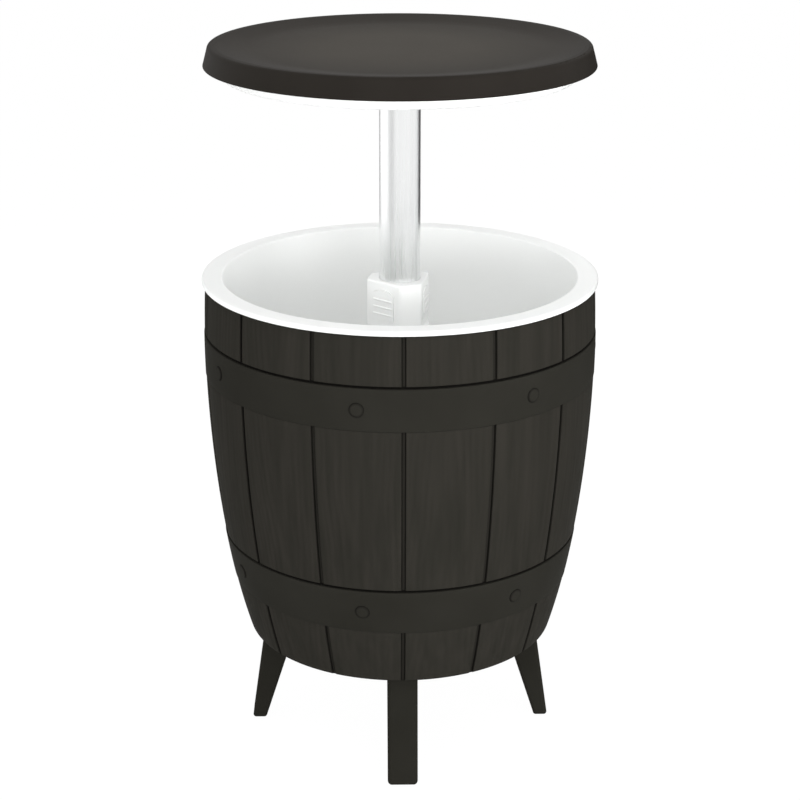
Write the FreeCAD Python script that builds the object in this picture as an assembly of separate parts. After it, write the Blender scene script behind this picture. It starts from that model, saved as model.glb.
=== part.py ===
import FreeCAD, Part
import math
import os

# Barrel-shaped outdoor side table: a cooler bucket in a staved barrel, under a table top
# that lifts on a centre post. Sizes are millimetres, +Z is up, the floor is Z = 0 and the
# barrel's axis is the Z axis. An azimuth is in degrees from the front (-Y) to the right (+X).

# Barrel: its widest radius, and how far each station of its side curve lies inside that
BELLY_RADIUS = 246.0
BARREL_BOTTOM = 147.5
BARREL_HEIGHT = 464.5
RIM_INSET = 2.5
MIDDLE_INSET = 3.9
LOWER_INSET = 19.5
HEEL_INSET = 38.8
BOTTOM_INSET = 48.8
# Share of the barrel's height, from the rim down, at which each station lies
BELLY_SHARE = 0.138
MIDDLE_SHARE = 0.418
LOWER_SHARE = 0.719
HEEL_SHARE = 0.924
SHELL_WALL = 5.0
SHELL_EDGE_ROUNDING = 3.0
LIP_WIDTH = 17.0
LIP_THICKNESS = 4.0

# Staves and the grooves between them
STAVE_COUNT = 14
GROOVE_WIDTH = 5.2
GROOVE_DEPTH = 3.0

# Hoops, seated as deep as the grooves, with an open gap along their upper edge
UPPER_HOOP_DROP = 64.2
UPPER_HOOP_HEIGHT = 52.5
LOWER_HOOP_RISE = 76.1
LOWER_HOOP_HEIGHT = 58.1
HOOP_PROUD = 0.7
HOOP_GAP = 3.2
RIVET_COUNT = 7
RIVET_HEAD_RADIUS = 9.2
RIVET_HEAD_HEIGHT = 1.4

# Cooler bucket
FLANGE_OVERHANG = 4.3
FLANGE_THICKNESS = 6.0
FLANGE_WIDTH = 26.0
BUCKET_DEPTH = 300.0
BUCKET_TAPER = 25.5
BUCKET_WALL = 3.0
BUCKET_ROUNDING = 20.0

# Post tube, with a pressed flute that keeps the top from turning
TUBE_RADIUS = 25.5
TUBE_WALL = 2.0
FLUTE_AZIMUTH = 50.0
FLUTE_WIDTH = 4.0
FLUTE_DEPTH = 0.9

# Lift of the table top
LIFT = 261.0
CLOSED_GAP = 0.7

# Column sleeve that guides the post through the bucket
SLEEVE_WALL = 2.5
SLEEVE_PLATE = 4.0
SLEEVE_FLANGE_WIDTH = 23.0
SLEEVE_FLANGE_THICKNESS = 4.0
SHOULDER_WIDTH = 13.0
SHOULDER_THICKNESS = 3.0
SEAL_THICKNESS = 3.0

# Lock collar: three wide grip faces and three narrow faces between them
COLLAR_DROP = 7.0
COLLAR_HEIGHT = 59.0
COLLAR_TURN = -41.0
COLLAR_WIDE_WALL = 6.2
COLLAR_NARROW_WALL = 13.7
COLLAR_EDGE_ROUNDING = 5.0
COLLAR_TOP_ROUNDING = 2.0
COLLAR_BORE_GAP = 0.5
COLLAR_SCREW_MARGIN = 2.6
COLLAR_SCREW_DEPTH = 14.0

# Release buttons in the grip faces
BUTTON_FACES = 3
BUTTON_TRAVEL = 2.2
BUTTON_HALF_WIDTH = 16.5
BUTTON_FOOT_DROP = 49.0
BUTTON_SHOULDER_DROP = 15.0
BUTTON_CROWN_DROP = 9.5
BUTTON_PROUD = 1.5
BUTTON_PLATE = 2.7
BUTTON_SKIRT = 1.5
EAR_WIDTH = 3.6
EAR_THICKNESS = 1.9
EAR_SETBACK = 2.0
EAR_MARGIN = 3.0
RIB_COUNT = 3
RIB_PITCH = 9.0
RIB_RADIUS = 1.2
RIB_FIRST_RISE = 8.0

# Guide bush under the collar, and the slider at the post's lower end
BUSH_FLANGE_THICKNESS = 5.0
BUSH_FLANGE_MARGIN = 0.5
BUSH_NECK_WALL = 2.1
SLIDER_HEIGHT = 40.0
SLIDER_WALL = 8.6
SLIDER_CAP = 4.0
SLIDER_ROUNDING = 1.0
PIN_RADIUS = 2.0
PIN_SETBACK = 0.9

# Table top
LID_INSET = 9.7
LID_HEIGHT = 25.3
LID_DRAFT = 6.8
LID_SKIN = 3.5
LID_EDGE_ROUNDING = 5.0
LID_CREST_WIDTH = 9.0
DISH_DEPTH = 5.5
DISH_SLOPE_WIDTH = 37.0
DISH_ROUNDING = 120.0
HUB_MARGIN = 4.0
HUB_HEIGHT = 8.0
HUB_SOCKET_DEPTH = 6.0
BOSS_RADIUS = 6.0
LID_SCREW_COUNT = 6
LID_SCREW_CIRCLE = 150.0
LID_SCREW_GRIP = 18.0

# White liner under the table top
PLUG_INSET = 23.8
PLUG_DEPTH = 14.2
PLUG_DRAFT = 3.0
PLUG_ROUNDING = 4.0
LINER_WALL = 3.0
RECESS_MARGIN = 19.0
RECESS_DEPTH = 12.0
RECESS_DRAFT = 2.0

# Socket that holds the post in the table top
SOCKET_FLANGE_WIDTH = 28.5
SOCKET_FLANGE_THICKNESS = 4.0
NECK_WALL = 3.9
NECK_LENGTH = 10.0
NECK_ROUNDING = 1.0
SOCKET_SCREW_COUNT = 4
SOCKET_SCREW_INSET = 13.0
SOCKET_SCREW_GRIP = 6.0

# Base plate and legs
BASE_THICKNESS = 6.0
BASE_GAP = 0.7
LEG_COUNT = 4
LEG_WIDTH = 38.0
LEG_TOP_DEPTH = 44.5
LEG_FOOT_DEPTH = 18.0
LEG_LIP_GAP = 3.7
LEG_SPLAY = 22.0
LEG_ROUNDING = 5.0
FOOT_ROUNDING = 3.5
LEG_SCREW_GRIP = 20.0
LEG_SCREW_INSETS = (13.0, 31.0)
BASE_SCREW_COUNT = 8
BASE_SCREW_GRIP = 5.0
SLEEVE_SCREW_COUNT = 4
SLEEVE_SCREW_INSET = 8.0
SLEEVE_SCREW_GRIP = 5.0

# Drain in the bucket's floor
DRAIN_AZIMUTH = 135.0
DRAIN_INSET = 56.0
SPOUT_RADIUS = 12.0
SPOUT_BORE = 9.0
SPOUT_FLANGE_RADIUS = 20.0
SPOUT_FLANGE_THICKNESS = 2.0
SPOUT_BELOW_BASE = 10.5
NUT_RADIUS = 19.0
NUT_HEIGHT = 7.0
NUT_SIDES = 6
STOPPER_RADIUS = 16.0
STOPPER_CAP = 4.0
STOPPER_STEM_LENGTH = 16.0
STEM_ROUNDING = 2.0
STOPPER_WASHER = 2.0
KNOB_RADIUS = 8.0
KNOB_NECK_RADIUS = 5.0
KNOB_NECK_HEIGHT = 11.0
KNOB_HEIGHT = 5.0

# Screws
SCREW_HEAD_RADIUS = 4.0
SCREW_HEAD_HEIGHT = 2.8
SCREW_SHANK_RADIUS = 2.0
SMALL_HEAD_RADIUS = 2.8
SMALL_HEAD_HEIGHT = 2.4
SMALL_SHANK_RADIUS = 1.5

# Clearances: between moving faces, between fixed seats, and round a fastener
SLIDE_GAP = 0.3
STEM_GAP = 0.5
SEAT_GAP = 0.1
HOLE_GAP = 0.1

# Heights and radii worked out from the above
BARREL_TOP = BARREL_BOTTOM + BARREL_HEIGHT
RIM_RADIUS = BELLY_RADIUS - RIM_INSET
BOTTOM_RADIUS = BELLY_RADIUS - BOTTOM_INSET
LIP_INNER = BOTTOM_RADIUS - LIP_WIDTH
BASE_BOTTOM = BARREL_BOTTOM + LIP_THICKNESS
BASE_TOP = BASE_BOTTOM + BASE_THICKNESS
FLANGE_RADIUS = RIM_RADIUS + FLANGE_OVERHANG
FLANGE_TOP = BARREL_TOP + FLANGE_THICKNESS
MOUTH_RADIUS = FLANGE_RADIUS - FLANGE_WIDTH
FLOOR_TOP = FLANGE_TOP - BUCKET_DEPTH
FLOOR_BOTTOM = FLOOR_TOP - BUCKET_WALL
BUCKET_FLOOR_RADIUS = MOUTH_RADIUS - BUCKET_TAPER
SHOULDER_TOP = FLOOR_BOTTOM - SEAL_THICKNESS
COLLAR_TOP = FLANGE_TOP - COLLAR_DROP
COLLAR_BOTTOM = COLLAR_TOP - COLLAR_HEIGHT
COLLAR_BORE = TUBE_RADIUS + COLLAR_BORE_GAP
COLLAR_WIDE_FACE = COLLAR_BORE + COLLAR_WIDE_WALL
COLLAR_NARROW_FACE = COLLAR_BORE + COLLAR_NARROW_WALL
BUSH_BOTTOM = COLLAR_BOTTOM - SLEEVE_PLATE - BUSH_FLANGE_THICKNESS
SLEEVE_BORE = TUBE_RADIUS + SEAT_GAP + SLIDER_WALL + SLIDE_GAP
SLEEVE_RADIUS = SLEEVE_BORE + SLEEVE_WALL
SLEEVE_HOLE_RADIUS = TUBE_RADIUS + SLIDE_GAP + BUSH_NECK_WALL + SEAT_GAP
SLEEVE_FLANGE_RADIUS = SLEEVE_RADIUS + SLEEVE_FLANGE_WIDTH
SHOULDER_RADIUS = SLEEVE_RADIUS + SHOULDER_WIDTH
COLLAR_SCREW_CIRCLE = SLEEVE_HOLE_RADIUS + COLLAR_SCREW_MARGIN
SLIDER_TOP = BUSH_BOTTOM - SLIDE_GAP
SLIDER_BOTTOM = SLIDER_TOP - SLIDER_HEIGHT
TUBE_BOTTOM = SLIDER_BOTTOM + SLIDER_CAP
LID_BOTTOM = FLANGE_TOP + CLOSED_GAP + LIFT
LID_TOP = LID_BOTTOM + LID_HEIGHT
LID_RADIUS = FLANGE_RADIUS - LID_INSET
DISH_FLOOR = LID_TOP - DISH_DEPTH
LID_UNDERSIDE = DISH_FLOOR - LID_SKIN
HUB_BOTTOM = LID_UNDERSIDE - HUB_HEIGHT
TUBE_TOP = HUB_BOTTOM + HUB_SOCKET_DEPTH
SOCKET_BOTTOM = HUB_BOTTOM - SOCKET_FLANGE_THICKNESS
NECK_RADIUS = TUBE_RADIUS + SEAT_GAP + NECK_WALL
SOCKET_FLANGE_RADIUS = NECK_RADIUS + SOCKET_FLANGE_WIDTH
SOCKET_SCREW_CIRCLE = SOCKET_FLANGE_RADIUS - SOCKET_SCREW_INSET
HUB_RADIUS = SOCKET_FLANGE_RADIUS + HUB_MARGIN
PLUG_BOTTOM = LID_BOTTOM - PLUG_DEPTH
PLUG_RADIUS = LID_RADIUS - PLUG_INSET
RECESS_CEILING = PLUG_BOTTOM + RECESS_DEPTH
RECESS_RADIUS = COLLAR_NARROW_FACE + RECESS_MARGIN
LEG_TOP_OUTER = LIP_INNER - LEG_LIP_GAP
DRAIN_RADIUS = BUCKET_FLOOR_RADIUS - DRAIN_INSET
WIDE_FACES = [COLLAR_TURN + face * 360 / BUTTON_FACES for face in range(BUTTON_FACES)]
EAR_OUTER = COLLAR_WIDE_FACE - EAR_SETBACK
EAR_INNER = EAR_OUTER - EAR_THICKNESS

V = FreeCAD.Vector
ORIGIN = V(0, 0, 0)
UP = V(0, 0, 1)
FAR = 2 * BELLY_RADIUS
# Halvings of the side curve when its radius is looked up at a height
CURVE_HALVINGS = 50


# Shape helpers

def place(azimuth, radial, tangential, height):
    """Point at a distance from the axis along an azimuth, and sideways from it."""
    turn = math.radians(azimuth)
    x = radial * math.sin(turn) + tangential * math.cos(turn)
    y = tangential * math.sin(turn) - radial * math.cos(turn)
    return V(x, y, height)


def turned(shape, azimuth):
    """Copy of a shape that was built along +X, carried round to an azimuth."""
    copy = shape.copy()
    copy.rotate(ORIGIN, UP, azimuth - 90)
    return copy


def shifted(shape, offset):
    copy = shape.copy()
    copy.translate(offset)
    return copy


def even(count, first=0.0):
    """Azimuths of a ring of equally spaced pieces."""
    return [first + step * 360 / count for step in range(count)]


def outline(corners):
    """Face in the X, Z plane; a corner is (x, z) or (x, z, rounding)."""
    stops = []
    for index, corner in enumerate(corners):
        here = V(corner[0], 0, corner[1])
        before = corners[index - 1]
        after = corners[(index + 1) % len(corners)]
        back = (V(before[0], 0, before[1]) - here).normalize()
        ahead = (V(after[0], 0, after[1]) - here).normalize()
        if len(corner) == 2:
            stops.append([here])
            continue
        half = back.getAngle(ahead) / 2
        reach = corner[2] / math.tan(half)
        bulge = corner[2] / math.sin(half) - corner[2]
        middle = here + (back + ahead).normalize() * bulge
        stops.append([here + back * reach, middle, here + ahead * reach])
    edges = []
    for index, stop in enumerate(stops):
        if len(stop) == 3:
            edges.append(Part.Arc(*stop).toShape())
        following = stops[(index + 1) % len(stops)][0]
        edges.append(Part.LineSegment(stop[-1], following).toShape())
    return Part.Face(Part.Wire(edges))


def spun(corners):
    """Solid of revolution about the Z axis."""
    return outline(corners).revolve(ORIGIN, UP, 360)


def rod(radius, low, high, centre=ORIGIN):
    return Part.makeCylinder(radius, high - low, V(centre.x, centre.y, low))


def cross_rod(radius, half_length, height):
    """Rod through the axis, along X."""
    return Part.makeCylinder(radius, 2 * half_length, V(-half_length, 0, height), V(1, 0, 0))


def block(near, far, half_width, low, high):
    """Box on the +X side, centred on that axis."""
    return Part.makeBox(far - near, 2 * half_width, high - low, V(near, -half_width, low))


def less(shape, tools):
    return shape.cut(Part.makeCompound(tools)) if tools else shape


def fused(shapes):
    return shapes[0].multiFuse(shapes[1:]).removeSplitter()


def ring_edges(shape, radius, height, slack=0.05):
    """Circular edges of a given radius about the axis, at a given height."""
    found = []
    for edge in shape.Edges:
        box = edge.BoundBox
        flat = abs(box.ZMin - height) < slack and abs(box.ZMax - height) < slack
        if flat and abs(box.XMax - radius) < slack and abs(box.YMax - radius) < slack:
            found.append(edge)
    return found


def screw(head_radius, head_height, shank_radius, length):
    """Screw pointing up, with the underside of its head at the origin."""
    return spun([
        (0, -head_height),
        (head_radius, -head_height, head_height / 2),
        (head_radius, 0),
        (shank_radius, 0),
        (shank_radius, length - shank_radius),
        (0, length),
    ])


def screw_down(head_radius, head_height, shank_radius, length):
    flipped = screw(head_radius, head_height, shank_radius, length)
    flipped.rotate(ORIGIN, V(1, 0, 0), 180)
    return flipped


def group(shape, spots):
    """Identical separate solids, one at each spot."""
    return Part.makeCompound([shifted(shape, spot) for spot in spots])


def holes(radius, low, high, spots):
    return [rod(radius, low, high, spot) for spot in spots]


# Barrel, hoops and rivets

def barrel_curve(offset):
    """Side curve of the barrel, from rim to bottom, moved outwards by an offset."""
    stations = (
        (0.0, RIM_INSET),
        (BELLY_SHARE, 0.0),
        (MIDDLE_SHARE, MIDDLE_INSET),
        (LOWER_SHARE, LOWER_INSET),
        (HEEL_SHARE, HEEL_INSET),
        (1.0, BOTTOM_INSET),
    )
    points = []
    for share, inset in stations:
        points.append(V(BELLY_RADIUS - inset + offset, 0, BARREL_TOP - share * BARREL_HEIGHT))
    curve = Part.BSplineCurve()
    curve.interpolate(points)
    return curve


def barrel_radius(height):
    curve = barrel_curve(0)
    upper = curve.FirstParameter
    lower = curve.LastParameter
    for _ in range(CURVE_HALVINGS):
        middle = (upper + lower) / 2
        if curve.value(middle).z > height:
            upper = middle
        else:
            lower = middle
    return curve.value(upper).x


def barrel_section(inner, outer):
    """Face between two offsets of the side curve."""
    inside = barrel_curve(inner)
    outside = barrel_curve(outer)
    edges = [inside.toShape(), outside.toShape()]
    edges.append(Part.LineSegment(inside.StartPoint, outside.StartPoint).toShape())
    edges.append(Part.LineSegment(inside.EndPoint, outside.EndPoint).toShape())
    return Part.Face(Part.Wire(Part.__sortEdges__(edges)))


def barrel_ring(inner, outer):
    """Full-height ring between two offsets; its seam lies at the front, between two staves."""
    return turned(barrel_section(inner, outer).revolve(ORIGIN, UP, 360), 0)


def barrel_band(inner, outer, low, high):
    """Ring that follows the barrel's side between two heights."""
    return barrel_ring(inner, outer).common(rod(FAR, low, high))


def hoop_spans():
    """Lower and upper height of each hoop."""
    upper_top = BARREL_TOP - UPPER_HOOP_DROP
    lower_bottom = BARREL_BOTTOM + LOWER_HOOP_RISE
    return {
        "upper": (upper_top - UPPER_HOOP_HEIGHT, upper_top),
        "lower": (lower_bottom, lower_bottom + LOWER_HOOP_HEIGHT),
    }


def rivet_axis(span):
    """Point on the hoop's outside at mid height, and the outward normal, on the +X side."""
    height = sum(span) / 2
    reach = RIVET_HEAD_RADIUS
    rise = barrel_radius(height + reach) - barrel_radius(height - reach)
    normal = V(2 * reach, 0, -rise).normalize()
    return V(barrel_radius(height) + HOOP_PROUD, 0, height), normal


def rivet_azimuths():
    stave = 360 / STAVE_COUNT
    return even(RIVET_COUNT, -stave / 2)


def rivets(span):
    """Low dummy rivet heads, bonded square to the hoop."""
    point, normal = rivet_axis(span)
    shape = spun([
        (0, 0),
        (RIVET_HEAD_RADIUS, 0),
        (RIVET_HEAD_RADIUS, RIVET_HEAD_HEIGHT, RIVET_HEAD_HEIGHT / 2),
        (0, RIVET_HEAD_HEIGHT),
    ])
    shape.rotate(ORIGIN, V(0, 1, 0), math.degrees(normal.getAngle(UP)))
    shape.translate(point)
    return Part.makeCompound([turned(shape, azimuth) for azimuth in rivet_azimuths()])


def hoop(span):
    low, high = span
    return barrel_band(SEAT_GAP - GROOVE_DEPTH, HOOP_PROUD, low, high)


def barrel_shell():
    wall = barrel_ring(-SHELL_WALL, 0)
    lip_outer = BOTTOM_RADIUS - SHELL_WALL / 2
    lip = rod(lip_outer, BARREL_BOTTOM, BASE_BOTTOM).cut(rod(LIP_INNER, BARREL_BOTTOM, BASE_BOTTOM))
    shell = fused([wall, lip])
    edges = ring_edges(shell, BOTTOM_RADIUS, BARREL_BOTTOM)
    shell = shell.makeFillet(SHELL_EDGE_ROUNDING, edges)
    blade = barrel_section(-GROOVE_DEPTH, GROOVE_DEPTH).extrude(V(0, GROOVE_WIDTH, 0))
    blade.translate(V(0, -GROOVE_WIDTH / 2, 0))
    tools = [turned(blade, azimuth) for azimuth in even(STAVE_COUNT)]
    for span in hoop_spans().values():
        tools.append(barrel_band(-GROOVE_DEPTH, GROOVE_DEPTH, span[0], span[1] + HOOP_GAP))
    for tool in tools:
        shell = shell.cut(tool)
    drill = SCREW_SHANK_RADIUS + HOLE_GAP
    return less(shell, holes(drill, BARREL_BOTTOM, BASE_BOTTOM, base_screw_spots()))


# Bucket and drain

def drain_spot(height=0.0):
    return place(DRAIN_AZIMUTH, DRAIN_RADIUS, 0, height)


def bucket():
    """Tapered bucket with a rim flange, and holes for the column and the drain."""
    outer_floor = BUCKET_FLOOR_RADIUS + BUCKET_WALL
    shape = spun([
        (SLEEVE_RADIUS + SEAT_GAP, FLOOR_BOTTOM),
        (outer_floor, FLOOR_BOTTOM, BUCKET_ROUNDING + BUCKET_WALL),
        (MOUTH_RADIUS + BUCKET_WALL, BARREL_TOP, BUCKET_WALL),
        (FLANGE_RADIUS, BARREL_TOP, FLANGE_THICKNESS / 3),
        (FLANGE_RADIUS, FLANGE_TOP, FLANGE_THICKNESS / 2),
        (MOUTH_RADIUS, FLANGE_TOP, FLANGE_THICKNESS / 3),
        (BUCKET_FLOOR_RADIUS, FLOOR_TOP, BUCKET_ROUNDING),
        (SLEEVE_RADIUS + SEAT_GAP, FLOOR_TOP),
    ])
    return less(shape, [rod(SPOUT_RADIUS + HOLE_GAP, FLOOR_BOTTOM, FLOOR_TOP, drain_spot())])


def drain_spout():
    shape = spun([
        (SPOUT_BORE, BASE_BOTTOM - SPOUT_BELOW_BASE),
        (SPOUT_RADIUS, BASE_BOTTOM - SPOUT_BELOW_BASE),
        (SPOUT_RADIUS, FLOOR_TOP),
        (SPOUT_FLANGE_RADIUS, FLOOR_TOP),
        (SPOUT_FLANGE_RADIUS, FLOOR_TOP + SPOUT_FLANGE_THICKNESS, SPOUT_FLANGE_THICKNESS / 2),
        (SPOUT_BORE, FLOOR_TOP + SPOUT_FLANGE_THICKNESS),
    ])
    return shifted(shape, drain_spot())


def drain_nut():
    corners = [place(azimuth, NUT_RADIUS, 0, FLOOR_BOTTOM - NUT_HEIGHT) for azimuth in even(NUT_SIDES)]
    nut = Part.Face(Part.makePolygon(corners + corners[:1])).extrude(V(0, 0, NUT_HEIGHT))
    bore = rod(SPOUT_RADIUS + SEAT_GAP, FLOOR_BOTTOM - NUT_HEIGHT, FLOOR_BOTTOM)
    return shifted(nut.cut(bore), drain_spot())


def stopper_seat():
    return FLOOR_TOP + SPOUT_FLANGE_THICKNESS + STOPPER_WASHER


def drain_stopper():
    """Lift-out stopper with a finger knob."""
    seat = stopper_seat()
    stem = SPOUT_BORE - STEM_GAP
    neck_top = seat + STOPPER_CAP + KNOB_NECK_HEIGHT
    shape = spun([
        (0, seat - STOPPER_STEM_LENGTH),
        (stem, seat - STOPPER_STEM_LENGTH, STEM_ROUNDING),
        (stem, seat),
        (STOPPER_RADIUS, seat),
        (STOPPER_RADIUS, seat + STOPPER_CAP, STOPPER_CAP / 2),
        (KNOB_NECK_RADIUS, seat + STOPPER_CAP, STOPPER_CAP / 2),
        (KNOB_NECK_RADIUS, neck_top),
        (KNOB_RADIUS, neck_top),
        (KNOB_RADIUS, neck_top + KNOB_HEIGHT, KNOB_HEIGHT / 2),
        (0, neck_top + KNOB_HEIGHT),
    ])
    return shifted(shape, drain_spot())


def stopper_washer():
    seat = stopper_seat()
    inner = SPOUT_BORE - STEM_GAP + SEAT_GAP
    washer = rod(STOPPER_RADIUS - SEAT_GAP, seat - STOPPER_WASHER, seat)
    return shifted(washer.cut(rod(inner, seat - STOPPER_WASHER, seat)), drain_spot())


# Column: sleeve, seal, bush, collar and buttons

def sleeve_screw_spots():
    circle = SLEEVE_FLANGE_RADIUS - SLEEVE_SCREW_INSET
    first = 180 / SLEEVE_SCREW_COUNT
    return [place(azimuth, circle, 0, 0) for azimuth in even(SLEEVE_SCREW_COUNT, first)]


def collar_screw_spots():
    half_step = 180 / BUTTON_FACES
    return [place(azimuth + half_step, COLLAR_SCREW_CIRCLE, 0, 0) for azimuth in WIDE_FACES]


def column_sleeve():
    flange_top = BASE_TOP + SLEEVE_FLANGE_THICKNESS
    plate_bottom = COLLAR_BOTTOM - SLEEVE_PLATE
    shape = spun([
        (SLEEVE_BORE, BASE_TOP),
        (SLEEVE_FLANGE_RADIUS, BASE_TOP),
        (SLEEVE_FLANGE_RADIUS, flange_top),
        (SLEEVE_RADIUS, flange_top),
        (SLEEVE_RADIUS, SHOULDER_TOP - SHOULDER_THICKNESS),
        (SHOULDER_RADIUS, SHOULDER_TOP - SHOULDER_THICKNESS),
        (SHOULDER_RADIUS, SHOULDER_TOP),
        (SLEEVE_RADIUS, SHOULDER_TOP),
        (SLEEVE_RADIUS, COLLAR_BOTTOM, SLEEVE_WALL / 2),
        (SLEEVE_HOLE_RADIUS, COLLAR_BOTTOM),
        (SLEEVE_HOLE_RADIUS, plate_bottom),
        (SLEEVE_BORE, plate_bottom),
    ])
    tools = holes(SCREW_SHANK_RADIUS + HOLE_GAP, BASE_TOP, flange_top, sleeve_screw_spots())
    small = SMALL_SHANK_RADIUS + HOLE_GAP
    tools += holes(small, plate_bottom, COLLAR_BOTTOM, collar_screw_spots())
    return less(shape, tools)


def sleeve_seal():
    ring = rod(SHOULDER_RADIUS, SHOULDER_TOP, FLOOR_BOTTOM)
    return ring.cut(rod(SLEEVE_RADIUS + SEAT_GAP, SHOULDER_TOP, FLOOR_BOTTOM))


def guide_bush():
    """Flanged bush round the post, with a key that runs in the tube's flute."""
    bore = TUBE_RADIUS + SLIDE_GAP
    flange_top = COLLAR_BOTTOM - SLEEVE_PLATE
    bush = spun([
        (bore, BUSH_BOTTOM),
        (SLEEVE_BORE - BUSH_FLANGE_MARGIN, BUSH_BOTTOM),
        (SLEEVE_BORE - BUSH_FLANGE_MARGIN, flange_top),
        (SLEEVE_HOLE_RADIUS - SEAT_GAP, flange_top),
        (SLEEVE_HOLE_RADIUS - SEAT_GAP, COLLAR_BOTTOM),
        (bore, COLLAR_BOTTOM),
    ])
    key_tip = TUBE_RADIUS - FLUTE_DEPTH + SLIDE_GAP
    key = block(key_tip, bore + SLIDE_GAP, FLUTE_WIDTH / 2 - SLIDE_GAP, BUSH_BOTTOM, COLLAR_BOTTOM)
    bush = fused([bush, turned(key, FLUTE_AZIMUTH)])
    tools = holes(SMALL_SHANK_RADIUS + HOLE_GAP, BUSH_BOTTOM, flange_top, collar_screw_spots())
    head_top = BUSH_BOTTOM + SMALL_HEAD_HEIGHT + HOLE_GAP
    tools += holes(SMALL_HEAD_RADIUS + HOLE_GAP, BUSH_BOTTOM, head_top, collar_screw_spots())
    return less(bush, tools)


def arch(half_width, near, far, margin=0.0):
    """Arch-topped prism through a grip face, on the +X side; the margin shrinks its outline."""
    foot = COLLAR_TOP - BUTTON_FOOT_DROP + margin
    shoulder = COLLAR_TOP - BUTTON_SHOULDER_DROP - margin
    crown = COLLAR_TOP - BUTTON_CROWN_DROP - margin
    side = half_width - margin
    left = V(near, -side, foot)
    right = V(near, side, foot)
    right_top = V(near, side, shoulder)
    left_top = V(near, -side, shoulder)
    edges = [
        Part.LineSegment(left, right).toShape(),
        Part.LineSegment(right, right_top).toShape(),
        Part.Arc(right_top, V(near, 0, crown), left_top).toShape(),
        Part.LineSegment(left_top, left).toShape(),
    ]
    return Part.Face(Part.Wire(edges)).extrude(V(far - near, 0, 0))


def lock_collar():
    """Six-sided housing whose wide faces carry the buttons, open below for their ears."""
    half_step = math.pi / BUTTON_FACES
    reach = COLLAR_NARROW_FACE - COLLAR_WIDE_FACE * math.cos(half_step)
    side = reach / math.sin(half_step)
    corners = []
    for azimuth in WIDE_FACES:
        corners.append(place(azimuth, COLLAR_WIDE_FACE, -side, COLLAR_BOTTOM))
        corners.append(place(azimuth, COLLAR_WIDE_FACE, side, COLLAR_BOTTOM))
    body = Part.Face(Part.makePolygon(corners + corners[:1])).extrude(V(0, 0, COLLAR_HEIGHT))
    upright = [edge for edge in body.Edges if edge.BoundBox.ZLength > COLLAR_HEIGHT / 2]
    body = body.makeFillet(COLLAR_EDGE_ROUNDING, upright)
    top = [edge for edge in body.Edges if edge.BoundBox.ZMin > COLLAR_TOP - SEAT_GAP]
    body = body.makeFillet(COLLAR_TOP_ROUNDING, top)
    tools = [rod(COLLAR_BORE, COLLAR_BOTTOM, COLLAR_TOP)]
    pocket_half = BUTTON_HALF_WIDTH + EAR_WIDTH + SLIDE_GAP
    pocket_near = EAR_INNER - BUTTON_TRAVEL - SLIDE_GAP
    pocket_top = COLLAR_TOP - BUTTON_SHOULDER_DROP
    for azimuth in WIDE_FACES:
        window = arch(BUTTON_HALF_WIDTH + SLIDE_GAP, 0, COLLAR_NARROW_FACE)
        pocket = block(pocket_near, EAR_OUTER + SLIDE_GAP, pocket_half, COLLAR_BOTTOM, pocket_top)
        tools += [turned(window, azimuth), turned(pocket, azimuth)]
    small = SMALL_SHANK_RADIUS + HOLE_GAP
    tools += holes(small, COLLAR_BOTTOM, COLLAR_BOTTOM + COLLAR_SCREW_DEPTH, collar_screw_spots())
    for tool in tools:
        body = body.cut(tool)
    return body


def release_button(azimuth):
    """Ribbed push pad with two ears that keep it in the collar."""
    front = COLLAR_WIDE_FACE + BUTTON_PROUD
    foot = COLLAR_TOP - BUTTON_FOOT_DROP
    plate = arch(BUTTON_HALF_WIDTH + SLIDE_GAP, front - BUTTON_PLATE, front, SLIDE_GAP)
    ear_low = foot + EAR_MARGIN
    ear_high = COLLAR_TOP - BUTTON_SHOULDER_DROP - EAR_MARGIN
    skirt_outer = block(EAR_INNER, front - BUTTON_PLATE, BUTTON_HALF_WIDTH, ear_low, ear_high)
    skirt_inner = block(EAR_INNER, front, BUTTON_HALF_WIDTH - BUTTON_SKIRT, ear_low, ear_high)
    ears = block(EAR_INNER, EAR_OUTER, BUTTON_HALF_WIDTH + EAR_WIDTH, ear_low, ear_high)
    frame = skirt_outer.fuse(ears).cut(skirt_inner)
    pieces = [plate, frame]
    rib_length = 2 * (BUTTON_HALF_WIDTH - BUTTON_SKIRT)
    for step in range(RIB_COUNT):
        height = foot + RIB_FIRST_RISE + step * RIB_PITCH
        end = V(front, -rib_length / 2, height)
        pieces.append(Part.makeCylinder(RIB_RADIUS, rib_length, end, V(0, 1, 0)))
    return turned(fused(pieces), azimuth)


def collar_screws():
    length = BUSH_FLANGE_THICKNESS - SMALL_HEAD_HEIGHT + SLEEVE_PLATE + COLLAR_SCREW_DEPTH
    shape = screw(SMALL_HEAD_RADIUS, SMALL_HEAD_HEIGHT, SMALL_SHANK_RADIUS, length - HOLE_GAP)
    shape.translate(V(0, 0, BUSH_BOTTOM + SMALL_HEAD_HEIGHT))
    return group(shape, collar_screw_spots())


def sleeve_screws():
    length = SLEEVE_FLANGE_THICKNESS + SLEEVE_SCREW_GRIP
    shape = screw_down(SCREW_HEAD_RADIUS, SCREW_HEAD_HEIGHT, SCREW_SHANK_RADIUS, length)
    shape.translate(V(0, 0, BASE_TOP + SLEEVE_FLANGE_THICKNESS))
    return group(shape, sleeve_screw_spots())


# Base plate and legs

def leg_azimuths():
    return dict(zip(("front", "right", "back", "left"), even(LEG_COUNT)))


def leg_screw_spots():
    spots = []
    for azimuth in leg_azimuths().values():
        for inset in LEG_SCREW_INSETS:
            spots.append(place(azimuth, LEG_TOP_OUTER - inset, 0, 0))
    return spots


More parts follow.
